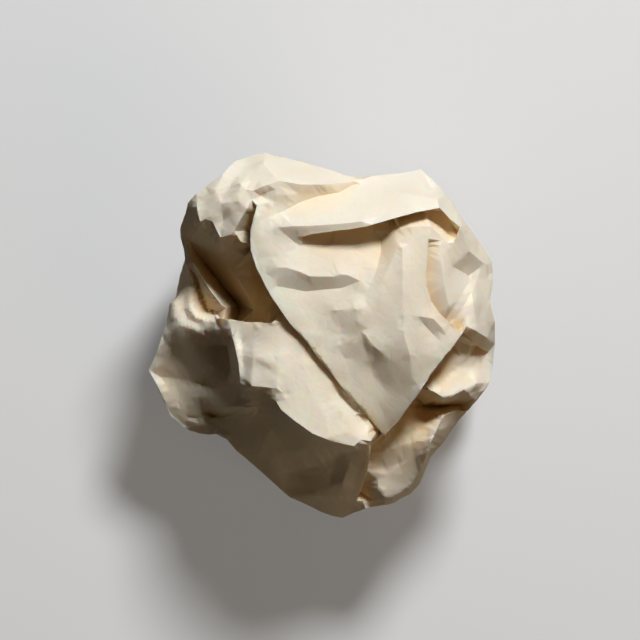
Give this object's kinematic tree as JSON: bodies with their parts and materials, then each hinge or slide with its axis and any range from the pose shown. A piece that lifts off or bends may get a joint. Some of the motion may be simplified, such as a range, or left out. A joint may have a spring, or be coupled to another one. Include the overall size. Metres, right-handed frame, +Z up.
{
  "type": "crumpled paper note",
  "caption": "Sheet of cream writing paper crumpled into a loose ball, with a corner of the sheet lying across its front, creased lobes and a pocket at the side.",
  "frame": {"origin": "on the table, under the middle of the ball's bounding box", "axes": "+Z up from the table; +Y from the tip of the sheet's corner towards the fold that crosses the top, which is up in the picture; +X to the picture's right"},
  "size_m": [0.064, 0.0676, 0.051],
  "materials": {
    "paper": "matte, uncoated, creased"
  },
  "bodies": {
    "root": {"crumpled_sheet": "paper"}
  },
  "joints": []
}
